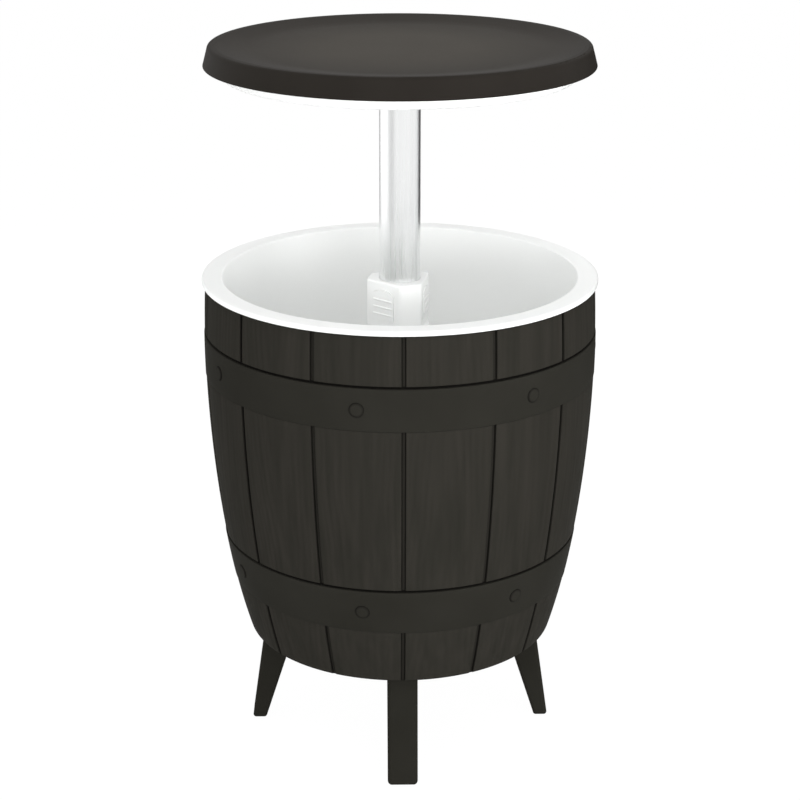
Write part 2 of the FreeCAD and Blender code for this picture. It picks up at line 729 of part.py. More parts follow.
def base_screw_spots():
    circle = (LIP_INNER + BOTTOM_RADIUS - SHELL_WALL) / 2
    first = 180 / BASE_SCREW_COUNT
    return [place(azimuth, circle, 0, 0) for azimuth in even(BASE_SCREW_COUNT, first)]


def base_plate():
    plate = rod(BOTTOM_RADIUS - SHELL_WALL - BASE_GAP, BASE_BOTTOM, BASE_TOP)
    drill = SCREW_SHANK_RADIUS + HOLE_GAP
    tools = holes(drill, BASE_BOTTOM, BASE_TOP, leg_screw_spots())
    tools += holes(drill, BASE_BOTTOM, BASE_BOTTOM + BASE_SCREW_GRIP + HOLE_GAP, base_screw_spots())
    tools += holes(drill, BASE_TOP - SLEEVE_SCREW_GRIP - HOLE_GAP, BASE_TOP, sleeve_screw_spots())
    tools.append(rod(SPOUT_RADIUS + SLIDE_GAP, BASE_BOTTOM, BASE_TOP, drain_spot()))
    return less(plate, tools)


def leg(azimuth):
    """Splayed leg, deeper at its top than at its foot."""
    foot_outer = LEG_TOP_OUTER + LEG_SPLAY
    side = outline([
        (foot_outer, 0, FOOT_ROUNDING),
        (LEG_TOP_OUTER, BASE_BOTTOM),
        (LEG_TOP_OUTER - LEG_TOP_DEPTH, BASE_BOTTOM),
        (foot_outer - LEG_FOOT_DEPTH, 0, FOOT_ROUNDING),
    ])
    shape = side.extrude(V(0, LEG_WIDTH, 0))
    shape.translate(V(0, -LEG_WIDTH / 2, 0))
    long_edges = []
    for edge in shape.Edges:
        if edge.BoundBox.ZLength > BASE_BOTTOM / 2:
            long_edges.append(edge)
    shape = turned(shape.makeFillet(LEG_ROUNDING, long_edges), azimuth)
    drill = SCREW_SHANK_RADIUS + HOLE_GAP
    hole_bottom = BASE_BOTTOM - LEG_SCREW_GRIP - HOLE_GAP
    return less(shape, holes(drill, hole_bottom, BASE_BOTTOM, leg_screw_spots()))


def leg_screws():
    length = BASE_THICKNESS + LEG_SCREW_GRIP
    shape = screw_down(SCREW_HEAD_RADIUS, SCREW_HEAD_HEIGHT, SCREW_SHANK_RADIUS, length)
    shape.translate(V(0, 0, BASE_TOP))
    return group(shape, leg_screw_spots())


def base_screws():
    length = LIP_THICKNESS + BASE_SCREW_GRIP
    shape = screw(SCREW_HEAD_RADIUS, SCREW_HEAD_HEIGHT, SCREW_SHANK_RADIUS, length)
    shape.translate(V(0, 0, BARREL_BOTTOM))
    return group(shape, base_screw_spots())


# Table top, liner and post

def lid_screw_spots():
    return [place(azimuth, LID_SCREW_CIRCLE, 0, 0) for azimuth in even(LID_SCREW_COUNT)]


def socket_screw_spots():
    first = 180 / SOCKET_SCREW_COUNT
    return [place(azimuth, SOCKET_SCREW_CIRCLE, 0, 0) for azimuth in even(SOCKET_SCREW_COUNT, first)]


def skirt_inside(height):
    """Radius of the skirt's inner face at a height."""
    return LID_RADIUS - LID_SKIN - LID_DRAFT * (height - LID_BOTTOM) / LID_HEIGHT


def table_top():
    """Dished top with a drafted skirt, a hub for the post and bosses for the liner."""
    edge = LID_RADIUS - LID_DRAFT
    crest = edge - LID_CREST_WIDTH
    flat = crest - DISH_SLOPE_WIDTH
    rim_inside = LID_TOP - LID_SKIN
    socket = TUBE_RADIUS + SEAT_GAP
    shape = spun([
        (0, DISH_FLOOR),
        (flat, DISH_FLOOR, DISH_ROUNDING),
        (crest, LID_TOP, LID_EDGE_ROUNDING),
        (edge, LID_TOP, LID_EDGE_ROUNDING),
        (LID_RADIUS, LID_BOTTOM, LID_SKIN / 4),
        (LID_RADIUS - LID_SKIN, LID_BOTTOM),
        (skirt_inside(rim_inside), rim_inside, LID_SKIN / 2),
        (crest, rim_inside, LID_EDGE_ROUNDING),
        (flat, LID_UNDERSIDE, DISH_ROUNDING),
        (HUB_RADIUS, LID_UNDERSIDE),
        (HUB_RADIUS, HUB_BOTTOM),
        (socket, HUB_BOTTOM),
        (socket, TUBE_TOP),
        (0, TUBE_TOP),
    ])
    boss_bottom = PLUG_BOTTOM + LINER_WALL
    bosses = holes(BOSS_RADIUS, boss_bottom, LID_UNDERSIDE + LID_SKIN / 2, lid_screw_spots())
    shape = fused([shape] + bosses)
    drill = SCREW_SHANK_RADIUS + HOLE_GAP
    tools = holes(drill, boss_bottom, boss_bottom + LID_SCREW_GRIP + HOLE_GAP, lid_screw_spots())
    tools += holes(drill, HUB_BOTTOM, HUB_BOTTOM + SOCKET_SCREW_GRIP + HOLE_GAP, socket_screw_spots())
    return less(shape, tools)


def lid_liner():
    """White underside: a shallow plug for the bucket's mouth, recessed round the post."""
    neck = NECK_RADIUS + SEAT_GAP
    inner_plug = PLUG_RADIUS - LINER_WALL
    flange_top = LID_BOTTOM + LINER_WALL
    flange = skirt_inside(flange_top) - SEAT_GAP
    shape = spun([
        (neck, RECESS_CEILING),
        (RECESS_RADIUS, RECESS_CEILING, LINER_WALL / 2),
        (RECESS_RADIUS + RECESS_DRAFT, PLUG_BOTTOM, LINER_WALL / 2),
        (PLUG_RADIUS, PLUG_BOTTOM, PLUG_ROUNDING),
        (PLUG_RADIUS + PLUG_DRAFT, LID_BOTTOM),
        (flange, LID_BOTTOM),
        (flange, flange_top),
        (inner_plug + PLUG_DRAFT, flange_top),
        (inner_plug, PLUG_BOTTOM + LINER_WALL),
        (RECESS_RADIUS + RECESS_DRAFT + LINER_WALL, PLUG_BOTTOM + LINER_WALL),
        (RECESS_RADIUS + LINER_WALL, RECESS_CEILING + LINER_WALL),
        (neck, RECESS_CEILING + LINER_WALL),
    ])
    drill = SCREW_SHANK_RADIUS + HOLE_GAP
    return less(shape, holes(drill, PLUG_BOTTOM, PLUG_BOTTOM + LINER_WALL, lid_screw_spots()))


def lid_screws():
    length = LINER_WALL + LID_SCREW_GRIP
    shape = screw(SCREW_HEAD_RADIUS, SCREW_HEAD_HEIGHT, SCREW_SHANK_RADIUS, length)
    shape.translate(V(0, 0, PLUG_BOTTOM))
    return group(shape, lid_screw_spots())


def socket_pin_height():
    return SOCKET_BOTTOM - NECK_LENGTH / 2


def post_socket():
    bore = TUBE_RADIUS + SEAT_GAP
    shape = spun([
        (bore, SOCKET_BOTTOM - NECK_LENGTH),
        (NECK_RADIUS, SOCKET_BOTTOM - NECK_LENGTH, NECK_ROUNDING),
        (NECK_RADIUS, SOCKET_BOTTOM),
        (SOCKET_FLANGE_RADIUS, SOCKET_BOTTOM),
        (SOCKET_FLANGE_RADIUS, HUB_BOTTOM),
        (bore, HUB_BOTTOM),
    ])
    tools = holes(SCREW_SHANK_RADIUS + HOLE_GAP, SOCKET_BOTTOM, HUB_BOTTOM, socket_screw_spots())
    tools.append(cross_rod(PIN_RADIUS + HOLE_GAP, FAR, socket_pin_height()))
    return less(shape, tools)


def socket_screws():
    length = SOCKET_FLANGE_THICKNESS + SOCKET_SCREW_GRIP
    shape = screw(SCREW_HEAD_RADIUS, SCREW_HEAD_HEIGHT, SCREW_SHANK_RADIUS, length)
    shape.translate(V(0, 0, SOCKET_BOTTOM))
    return group(shape, socket_screw_spots())


def socket_pin():
    return cross_rod(PIN_RADIUS, NECK_RADIUS - SEAT_GAP, socket_pin_height())


def slider_pin_height():
    return (SLIDER_TOP + TUBE_BOTTOM) / 2


def post_tube():
    tube = rod(TUBE_RADIUS, TUBE_BOTTOM, TUBE_TOP)
    flute = block(TUBE_RADIUS - FLUTE_DEPTH, FAR, FLUTE_WIDTH / 2, TUBE_BOTTOM, TUBE_TOP)
    tools = [rod(TUBE_RADIUS - TUBE_WALL, TUBE_BOTTOM, TUBE_TOP), turned(flute, FLUTE_AZIMUTH)]
    for height in (socket_pin_height(), slider_pin_height()):
        tools.append(cross_rod(PIN_RADIUS + HOLE_GAP, FAR, height))
    for tool in tools:
        tube = tube.cut(tool)
    return tube


def post_slider():
    """Foot of the post: runs in the sleeve and meets the bush at the top of the lift."""
    outer = SLEEVE_BORE - SLIDE_GAP
    bore = TUBE_RADIUS + SEAT_GAP
    shape = spun([
        (0, SLIDER_BOTTOM),
        (outer, SLIDER_BOTTOM, SLIDER_CAP / 2),
        (outer, SLIDER_TOP, SLIDER_ROUNDING),
        (bore, SLIDER_TOP),
        (bore, TUBE_BOTTOM),
        (0, TUBE_BOTTOM),
    ])
    return shape.cut(cross_rod(PIN_RADIUS + HOLE_GAP, FAR, slider_pin_height()))


def slider_pin():
    half_length = SLEEVE_BORE - SLIDE_GAP - PIN_SETBACK
    return cross_rod(PIN_RADIUS, half_length, slider_pin_height())


def nodes():
    spans = hoop_spans()
    made = {
        "barrel_shell": barrel_shell(),
        "upper_hoop": hoop(spans["upper"]),
        "lower_hoop": hoop(spans["lower"]),
        "upper_hoop_rivets": rivets(spans["upper"]),
        "lower_hoop_rivets": rivets(spans["lower"]),
        "cooler_bucket": bucket(),
        "drain_spout": drain_spout(),
        "drain_nut": drain_nut(),
        "drain_stopper": drain_stopper(),
        "stopper_washer": stopper_washer(),
        "column_sleeve": column_sleeve(),
        "sleeve_seal": sleeve_seal(),
        "sleeve_screws": sleeve_screws(),
        "guide_bush": guide_bush(),
        "lock_collar": lock_collar(),
        "collar_screws": collar_screws(),
        "base_plate": base_plate(),
        "base_screws": base_screws(),
        "leg_screws": leg_screws(),
        "table_top": table_top(),
        "lid_liner": lid_liner(),
        "lid_screws": lid_screws(),
        "post_socket": post_socket(),
        "socket_screws": socket_screws(),
        "socket_pin": socket_pin(),
        "post_tube": post_tube(),
        "post_slider": post_slider(),
        "slider_pin": slider_pin(),
    }
    for side, azimuth in zip(("left", "right", "back"), WIDE_FACES):
        made["release_button_" + side] = release_button(azimuth)
    for side, azimuth in leg_azimuths().items():
        made["leg_" + side] = leg(azimuth)
    return made


os.makedirs("parts", exist_ok=True)
for name, shape in nodes().items():
    shape.exportStep("parts/" + name + ".step")
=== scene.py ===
import functools
import math
import random

import bmesh
import bpy
import numpy as np
from mathutils import Matrix, Vector, noise
from mathutils.bvhtree import BVHTree


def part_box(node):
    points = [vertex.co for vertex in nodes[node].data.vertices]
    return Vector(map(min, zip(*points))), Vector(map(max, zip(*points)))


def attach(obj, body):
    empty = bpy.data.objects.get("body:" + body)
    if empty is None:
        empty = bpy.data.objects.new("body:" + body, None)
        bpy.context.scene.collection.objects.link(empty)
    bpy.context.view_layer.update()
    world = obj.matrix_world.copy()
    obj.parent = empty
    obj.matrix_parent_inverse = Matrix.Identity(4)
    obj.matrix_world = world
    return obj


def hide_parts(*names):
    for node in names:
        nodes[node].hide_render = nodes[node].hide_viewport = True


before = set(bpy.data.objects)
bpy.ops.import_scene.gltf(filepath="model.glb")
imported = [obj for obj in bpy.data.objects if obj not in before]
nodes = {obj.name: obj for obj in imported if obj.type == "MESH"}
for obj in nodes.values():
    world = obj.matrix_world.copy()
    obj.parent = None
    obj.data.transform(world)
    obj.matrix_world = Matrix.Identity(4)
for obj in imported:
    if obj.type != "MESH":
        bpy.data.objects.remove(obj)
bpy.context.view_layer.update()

# Sizes are metres. An azimuth is an angle from the front (-Y) towards the right (+X).
MM = 0.001
FULL_TURN = 2 * math.pi
QUARTER_TURN = math.pi / 2
MERGE = MM / 1000
SHARP_EDGE = math.radians(50)

# Barrel wall: staves with grooves between them, seats for the hoops, a lip round the bottom
STAVES = 14
GROOVE_HALF = 2.6 * MM
GROOVE_DRAFT = 0.5 * MM
GROOVE_DEPTH = 3.0 * MM
GROOVE_FLOOR = 0.9 * MM
GROOVE_FLOOR_SHADE = 0.3
STAVE_ROUNDING = 0.9 * MM
STAVE_INNER_COLUMNS = 82
ROUNDING_STEPS = 4
WALL = 5.0 * MM
BOTTOM_ROUNDING = 3.0 * MM
LIP_WIDTH = 17.0 * MM
LIP_THICKNESS = 4.0 * MM
SEAT_ROUNDING = 0.9 * MM
SEAT_STEPS = 2
ROW_SPACING = 6.4 * MM
INNER_ROWS = 7

# Points of the turned wall less deep than these are on its outer side, or on a bare stave
OUTER_DEPTH = GROOVE_DEPTH + MM / 10
BARE_DEPTH = MM / 100

# Curve of the barrel's side, fitted to samples of the CAD shell
SAMPLES_PER_METRE = 90
LEAST_SAMPLES = 4
SAMPLE_MARGIN = BOTTOM_ROUNDING + MM
SIDE_DEGREE = 6

# Hoops and their rivet heads
HOOP_GAP = 3.2 * MM
HOOP_PROUD = 0.7 * MM
HOOP_CLEARANCE = 0.1 * MM
HOOP_ROUNDING = 0.8 * MM
HOOP_STEPS = 40
RIVETS = 7
FIRST_RIVET = -FULL_TURN / STAVES / 2
RIVET_RADIUS = 9.2 * MM
RIVET_HEIGHT = 1.35 * MM
RIVET_EDGE = 3.2 * MM
RIVET_FOOT = 0.6 * MM
RIVET_SIDES = 48
# Strength of the painted shade on the rivet heads' flanks
RIVET_SHADE = 0.8
RIVET_STEPS = 6

# Moulded wood grain on the staves
GRAIN_SEED = 11
GRAIN_DEPTH = 0.2 * MM
GRAIN_SPACING = 7.2 * MM
GRAIN_WIDTH = 0.24
GRAIN_MARGIN = 4.0 * MM
GRAIN_TONE = 0.35

# Growth rings behind the grain, drawn for each stave: place of their heart, lean and strength
HEART_ASIDE = 0.03
HEART_BEHIND = (0.004, 0.022)
RING_LEAN = (0.03, 0.07)
RING_STRENGTH = (0.55, 1.0)
NOISE_PLACES = 1000

# How the rings sway, waver (size, width, length, shift) and fade (width, length, shift)
SWAY = 0.007
SWAY_LENGTH = 0.13
WAVERS = ((0.0028, 0.045, 0.17, 10), (0.0006, 0.011, 0.08, 20))
LINE_FADE = (0.03, 0.15, 30)
LINE_FADE_MIDDLE = 0.6
LINE_FADE_SWING = 0.55
LINE_FADE_LEAST = 0.1

# Painted shade in grooves and seats, and round the rivet heads
RECESS_SHADE_TONES = ("0E0D0C", "141311")
RECESS_SHADE_FULL = 2.0 * MM

# Table top, paler towards its middle as painted light
LIT_MIDDLE_START = 90 * MM
LIT_MIDDLE_END = 250 * MM

# Most values of a noise lie between these
NOISE_LOW = 0.3
NOISE_HIGH = 0.7

# Cross recess in the flat of a screw head: a grid of cells, of which some are sunk
CROSS_SHARE = 0.95
CROSS_CELLS = 5
CROSS_HALF_WIDTH = 0.2
CROSS_REACH = 0.6
CROSS_TAPER = 0.7
CROSS_DEPTH = 0.45

# A plain screw's points past these shares of its head's radius are on the rim, or on the head
RIM_SHARE = 0.97
HEAD_SHARE = 0.8

# Screws: angles up the rounded edge of the head, taper of the tip, turn by place
HEAD_ANGLES = (math.pi / 6, math.pi / 3, math.pi / 2)
TIP_TAPER = 10
SCREW_TURN = 0.37

# Camera: fitted to the photograph's rim, hoop and table-top ellipses
CAMERA_DISTANCE = 2.380
CAMERA_HEIGHT = 1.3032
CAMERA_AZIMUTH = math.radians(-1.05)
CAMERA_PITCH = math.radians(19.78)
CAMERA_LENS = 88.75
CAMERA_SENSOR = 36.0

# Studio
FLOOR_HALF = 20.0
FLOOR_GLOW = 0.95
FLOOR_WHITE = 1.03
FLOOR_TONE = (0.7, 0.7, 0.7, 1)
AMBIENT_LIT = 1.86
AMBIENT_SHADE = 0.09
AMBIENT_AZIMUTH = math.radians(-12)
AMBIENT_RISE = math.radians(-40)
LAMP_AIM = Vector((0, 0, 0.5))
CARD_FOOT = 0.7
CARD_FULL = 0.5

# Lamps: azimuth and elevation in degrees, distance, width, height, brightness
LAMPS = (
    ("key_lamp", 17, 4, 2.6, 1.0, 0.7, 0.36),
    ("right_lamp", 55, 6, 2.6, 1.0, 0.8, 0.19),
    ("left_lamp", -100, 6, 2.6, 1.0, 0.8, 0.15),
    ("back_lamp", 185, 4, 2.6, 1.2, 0.8, 0.75),
    ("high_front_lamp", 10, 50, 2.4, 1.6, 1.2, 0.21),
    ("high_back_lamp", 170, 62, 2.4, 1.6, 1.2, 0.22),
)

# Cards: azimuth in degrees, distance, width, heights of the lower and upper edge, brightness
CARDS = (
    ("grey_flag", -155, 1.4, 0.6, 0.0, 1.2, 0.3),
    ("left_card", -101, 1.9, 1.9, 0.0, 0.7, 1.35),
    ("front_left_card", -50, 1.9, 1.1, 0.0, 2.0, 0.72),
    ("front_card", -13, 1.9, 1.46, 0.0, 2.0, 1.0),
    ("front_right_card", 34, 1.9, 1.85, 0.0, 2.0, 1.01),
    ("right_card", 85, 1.9, 1.8, 0.0, 2.0, 0.98),
    ("dark_flag", 138, 1.4, 1.0, 0.0, 1.2, 0.0),
    ("back_card", 180, 2.6, 2.4, 1.2, 2.6, 0.7),
)


def facing(azimuth):
    """Unit vector from the axis towards an azimuth."""
    return Vector((math.sin(azimuth), -math.cos(azimuth), 0))


def raised(azimuth, rise):
    """Unit vector towards an azimuth, lifted by an angle."""
    return facing(azimuth) * math.cos(rise) + Vector((0, 0, math.sin(rise)))


def colour(code):
    """Linear colour of a display colour such as 2F2D29, by the standard display curve."""
    channels = [int(code[at:at + 2], 16) / 255 for at in (0, 2, 4)]
    linear = [c / 12.92 if c <= 0.04045 else ((c + 0.055) / 1.055) ** 2.4 for c in channels]
    return (*linear, 1.0)


# Finishes

def new_finish(name, roughness, specular, metallic=0.0):
    """Material with a plain shader, its node tree and the shader."""
    material = bpy.data.materials.new(name)
    material.use_nodes = True
    tree = material.node_tree
    shader = tree.nodes["Principled BSDF"]
    shader.inputs["Roughness"].default_value = roughness
    shader.inputs["Specular IOR Level"].default_value = specular
    shader.inputs["Metallic"].default_value = metallic
    return material, tree, shader


def mottle(tree, scale, detail=3.0, stretch=(1, 1, 1), each=None):
    """Noise on the piece's own coordinates; each shifts it by a named attribute."""
    place = tree.nodes.new("ShaderNodeTexCoord")
    mapping = tree.nodes.new("ShaderNodeMapping")
    mapping.inputs["Scale"].default_value = stretch
    speckle = tree.nodes.new("ShaderNodeTexNoise")
    speckle.inputs["Scale"].default_value = scale
    speckle.inputs["Detail"].default_value = detail
    tree.links.new(place.outputs["Object"], mapping.inputs["Vector"])
    tree.links.new(mapping.outputs["Vector"], speckle.inputs["Vector"])
    if each:
        speckle.noise_dimensions = "4D"
        tree.links.new(attribute(tree, each), speckle.inputs["W"])
    return speckle.outputs["Fac"]


def attribute(tree, name):
    """Value that the piece's points carry under a name."""
    reader = tree.nodes.new("ShaderNodeAttribute")
    reader.attribute_name = name
    return reader.outputs["Fac"]


def from_axis(tree):
    """Distance of a place on the piece from the upright axis, in metres."""
    place = tree.nodes.new("ShaderNodeTexCoord")
    level = tree.nodes.new("ShaderNodeVectorMath")
    level.operation = "MULTIPLY"
    level.inputs[1].default_value = (1, 1, 0)
    length = tree.nodes.new("ShaderNodeVectorMath")
    length.operation = "LENGTH"
    tree.links.new(place.outputs["Object"], level.inputs[0])
    tree.links.new(level.outputs["Vector"], length.inputs[0])
    return length.outputs["Value"]


def ramp(tree, value, dark, light):
    """Colour between two tones, over the range of a noise."""
    node = tree.nodes.new("ShaderNodeValToRGB")
    node.color_ramp.elements[0].position = NOISE_LOW
    node.color_ramp.elements[0].color = colour(dark)
    node.color_ramp.elements[1].position = NOISE_HIGH
    node.color_ramp.elements[1].color = colour(light)
    tree.links.new(value, node.inputs["Fac"])
    return node.outputs["Color"]


def spread(tree, value, low, high, start=NOISE_LOW, end=NOISE_HIGH):
    """Value carried from one range to another."""
    node = tree.nodes.new("ShaderNodeMapRange")
    node.inputs["From Min"].default_value = start
    node.inputs["From Max"].default_value = end
    node.inputs["To Min"].default_value = low
    node.inputs["To Max"].default_value = high
    tree.links.new(value, node.inputs["Value"])
    return node.outputs["Result"]


def blended(tree, factor, first, second):
    """Colour between two colours."""
    node = tree.nodes.new("ShaderNodeMix")
    node.data_type = "RGBA"
    tree.links.new(factor, node.inputs["Factor"])
    tree.links.new(first, node.inputs["A"])
    tree.links.new(second, node.inputs["B"])
    return node.outputs["Result"]


def shaded(tree, tone, value):
    """Tone with painted shade in grooves and seats, and round rivet heads."""
    return blended(tree, attribute(tree, "recess_shade"), tone, ramp(tree, value, *RECESS_SHADE_TONES))


def bump(tree, height, strength, depth, below=None):
    """Fine relief, on top of another one where below is given."""
    node = tree.nodes.new("ShaderNodeBump")
    node.inputs["Strength"].default_value = strength
    node.inputs["Distance"].default_value = depth
    tree.links.new(height, node.inputs["Height"])
    if below:
        tree.links.new(below, node.inputs["Normal"])
    return node.outputs["Normal"]


def connect(tree, shader, **inputs):
    """Links outputs to the shader's sockets, named with underscores for spaces."""
    for socket, output in inputs.items():
        tree.links.new(output, shader.inputs[socket.replace("_", " ")])


def stave_finish():
    """Matt dark plastic moulded with wood fibres, each stave with its own run of them, shade
    painted in its grooves and seats.
    """
    material, tree, shader = new_finish("stave_plastic_moulded_grain", 0.7, specular=0.01)
    fibres = mottle(tree, scale=420, detail=5, stretch=(1, 1, 0.035), each="stave")
    streaks = mottle(tree, scale=90, detail=4, stretch=(1, 1, 0.05), each="stave")
    spark = mottle(tree, scale=2600, detail=2)
    tone = ramp(tree, streaks, "282723", "2F2D29")
    lines = spread(tree, attribute(tree, "grain"), 0.0, GRAIN_TONE, start=0.0, end=1.0)
    tone = blended(tree, lines, tone, ramp(tree, fibres, "1E1D1A", "252420"))
    normal = bump(tree, fibres, strength=0.22, depth=0.25 * MM)
    connect(tree, shader,
            Base_Color=shaded(tree, tone, fibres),
            Roughness=spread(tree, fibres, 0.62, 0.78),
            Normal=bump(tree, spark, strength=0.12, depth=0.06 * MM, below=normal))
    return material


def moulded_finish(name, tones, roughness, specular, grain=1500, relief=0.1,
                   shade_recesses=False, painted_light_tones=None):
    """Moulded plastic with a spark-eroded skin and faint clouds.

    One made to shade its recesses has painted shade in them. One given middle tones has those
    paler tones at its middle, as painted light.
    """
    material, tree, shader = new_finish(name, sum(roughness) / 2, specular)
    cloud = mottle(tree, scale=9, detail=4)
    skin = mottle(tree, scale=grain)
    flow = mottle(tree, scale=60, stretch=(1, 1, 0.4))
    tone = ramp(tree, cloud, *tones)
    if shade_recesses:
        # painted shade in grooves, seats and round rivet heads
        tone = shaded(tree, tone, cloud)
    if painted_light_tones:
        # painted light: paler towards the middle of the table top
        middle = spread(tree, from_axis(tree), 1.0, 0.0, start=LIT_MIDDLE_START, end=LIT_MIDDLE_END)
        tone = blended(tree, middle, tone, ramp(tree, cloud, *painted_light_tones))
    normal = bump(tree, skin, strength=relief, depth=0.1 * MM)
    connect(tree, shader,
            Base_Color=tone,
            Roughness=spread(tree, skin, *roughness),
            Normal=bump(tree, flow, strength=relief / 2, depth=0.2 * MM, below=normal))
    return material


def brushed_finish(name, tones, roughness):
    """Drawn metal, with fine lines along its length."""
    material, tree, shader = new_finish(name, sum(roughness) / 2, specular=0.5, metallic=1.0)
    lines = mottle(tree, scale=1400, detail=4, stretch=(1, 1, 0.006))
    bands = mottle(tree, scale=160, stretch=(1, 1, 0.01))
    connect(tree, shader,
            Base_Color=ramp(tree, bands, *tones),
            Roughness=spread(tree, lines, *roughness),
            Normal=bump(tree, lines, strength=0.1, depth=0.05 * MM))
    return material


def rubber_finish():
    """Dull black rubber with a little dust."""
    material, tree, shader = new_finish("seal_rubber", 0.75, specular=0.3)
    dust = mottle(tree, scale=300, detail=4)
    skin = mottle(tree, scale=1200)
    connect(tree, shader,
            Base_Color=ramp(tree, dust, "161616", "222220"),
            Normal=bump(tree, skin, strength=0.15, depth=0.1 * MM))
    return material


# Making pieces

def once(items):
    """Each item once, in the order found."""
    return list(dict.fromkeys(items))


def points_among(geometry):
    """The points among an operator's results."""
    return [item for item in geometry if isinstance(item, bmesh.types.BMVert)]


def new_points(bm, before):
    """The points that were not there before."""
    return [vert for vert in bm.verts if vert not in before]


def in_scene(bm, name, finish):
    """Object in the scene, made of a bmesh and a finish."""
    mesh = bpy.data.meshes.new(name)
    bm.to_mesh(mesh)
    bm.free()
    mesh.materials.append(finish)
    piece = bpy.data.objects.new(name, mesh)
    bpy.context.scene.collection.objects.link(piece)
    return piece


def made(bm, name, body, slot, finish, *stands_for):
    """Piece smooth but for its sharp edges, riding a body, standing for CAD nodes."""
    bmesh.ops.recalc_face_normals(bm, faces=bm.faces)
    for face in bm.faces:
        face.smooth = True
    for edge in bm.edges:
        edge.smooth = edge.calc_face_angle(0.0) < SHARP_EDGE
    piece = in_scene(bm, name, finish)
    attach(piece, body)
    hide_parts(*stands_for)


def dress(finish, *names):
    """Gives CAD nodes a finish."""
    for name in names:
        nodes[name].data.materials.clear()
        nodes[name].data.materials.append(finish)


# Barrel shell, with its staves and their grain

def surface_tree(name):
    """A CAD node's surface, ready for casting rays at."""
    mesh = nodes[name].data
    corners = [vertex.co for vertex in mesh.vertices]
    return BVHTree.FromPolygons(corners, [face.vertices for face in mesh.polygons])


def outer_radius(tree, height):
    """Largest radius of a round node at a height, over the width of one stave."""
    found = []
    for step in range(1, STAVES):
        out = facing(FULL_TURN * step / STAVES ** 2)
        hit = tree.ray_cast(out + Vector((0, 0, height)), -out)[0]
        found.append(math.hypot(hit.x, hit.y))
    return max(found)


def barrel_spans():
    """Lower and upper height of each stretch of bare staves, from the rim down."""
    bottom, top = (corner.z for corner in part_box("barrel_shell"))
    upper = [corner.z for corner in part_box("upper_hoop")]
    lower = [corner.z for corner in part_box("lower_hoop")]
    return [(upper[1] + HOOP_GAP, top), (lower[1] + HOOP_GAP, upper[0]), (bottom, lower[0])]


def barrel_side():
    """Smooth radius of the barrel's side by height, measured on the bare staves."""
    tree = surface_tree("barrel_shell")
    heights = []
    for low, high in barrel_spans():
        count = max(LEAST_SAMPLES, round(SAMPLES_PER_METRE * (high - low)))
        heights += list(np.linspace(low + SAMPLE_MARGIN, high - SAMPLE_MARGIN, count))
    radii = [outer_radius(tree, height) for height in heights]
    return np.polynomial.Polynomial.fit(heights, radii, SIDE_DEGREE)


# Radius of the barrel's side at a height, kept because many points share one
side = functools.lru_cache(maxsize=None)(barrel_side())


def quarter(radius, steps):
    """(inset, depth) along a rounded edge, from its flank to its crown."""
    for step in range(steps + 1):
        angle = QUARTER_TURN * step / steps
        yield radius * (1 - math.cos(angle)), radius * (1 - math.sin(angle))


def stave_columns():
    """Columns across a stave and the groove on its left.

    Each is its share of the pitch, and its offset, depth and painted shade.
    """
    groove = [(GROOVE_FLOOR, GROOVE_DEPTH, GROOVE_FLOOR_SHADE)]
    groove.append((GROOVE_HALF - GROOVE_DRAFT, GROOVE_DEPTH, 1.0))
    for inset, depth in quarter(STAVE_ROUNDING, ROUNDING_STEPS):
        groove.append((GROOVE_HALF + inset, depth, depth / RECESS_SHADE_FULL))
    columns = [(0.0, 0.0, GROOVE_DEPTH, GROOVE_FLOOR_SHADE)]
    columns += [(0.0, offset, depth, shade) for offset, depth, shade in groove]
    clear = GROOVE_HALF + STAVE_ROUNDING
    for step in range(1, STAVE_INNER_COLUMNS):
        share = step / STAVE_INNER_COLUMNS
        columns.append((share, clear * (1 - 2 * share), 0.0, 0.0))
    return columns + [(1.0, -offset, depth, shade) for offset, depth, shade in reversed(groove)]


def span_rows(low, high, low_rounding, high_rounding):
    """(height, depth) rows down a stretch of staves, with its two edges rounded."""
    rows = [(high - inset, depth) for inset, depth in quarter(high_rounding, SEAT_STEPS)]
    count = round((high - low) / ROW_SPACING)
    inner = np.linspace(high - high_rounding, low + low_rounding, count + 1)
    rows += [(float(height), 0.0) for height in inner[1:-1]]
    edge = list(quarter(low_rounding, ROUNDING_STEPS))
    return rows + [(low + inset, depth) for inset, depth in reversed(edge)]


def barrel_outline():
    """Closed (radius, height) outline of the shell's wall."""
    spans = barrel_spans()
    outline = []
    for index, (low, high) in enumerate(spans):
        last = index == len(spans) - 1
        rows = span_rows(low, high, BOTTOM_ROUNDING if last else SEAT_ROUNDING, SEAT_ROUNDING)
        if not last:
            rows += [(low, GROOVE_DEPTH), (spans[index + 1][1], GROOVE_DEPTH)]
        outline += [(side(height) - depth, height) for height, depth in rows]
    bottom = spans[-1][0]
    lip = side(bottom) - LIP_WIDTH
    outline += [(lip, bottom), (lip, bottom + LIP_THICKNESS)]
    for height in np.linspace(bottom + LIP_THICKNESS, spans[0][1], INNER_ROWS):
        outline.append((side(height) - WALL, float(height)))
    return outline


def spun(bm, outline, steps, repeats):
    """Turns a closed (radius, height) outline about the axis, as equal sectors from the front."""
    points = [bm.verts.new((0, -radius, height)) for radius, height in outline]
    edges = [bm.edges.new(pair) for pair in zip(points, points[1:] + points[:1])]
    sector = FULL_TURN / repeats
    bmesh.ops.spin(bm, geom=points + edges, cent=(0, 0, 0), axis=(0, 0, 1), dvec=(0, 0, 0),
                   angle=sector, steps=steps, use_merge=False, use_duplicate=False)
    first = bm.verts[:] + bm.edges[:] + bm.faces[:]
    for number in range(1, repeats):
        copies = bmesh.ops.duplicate(bm, geom=first)["geom"]
        turn = Matrix.Rotation(sector * number, 3, "Z")
        bmesh.ops.rotate(bm, verts=points_among(copies), cent=(0, 0, 0), matrix=turn)
    bmesh.ops.remove_doubles(bm, verts=bm.verts, dist=MERGE)


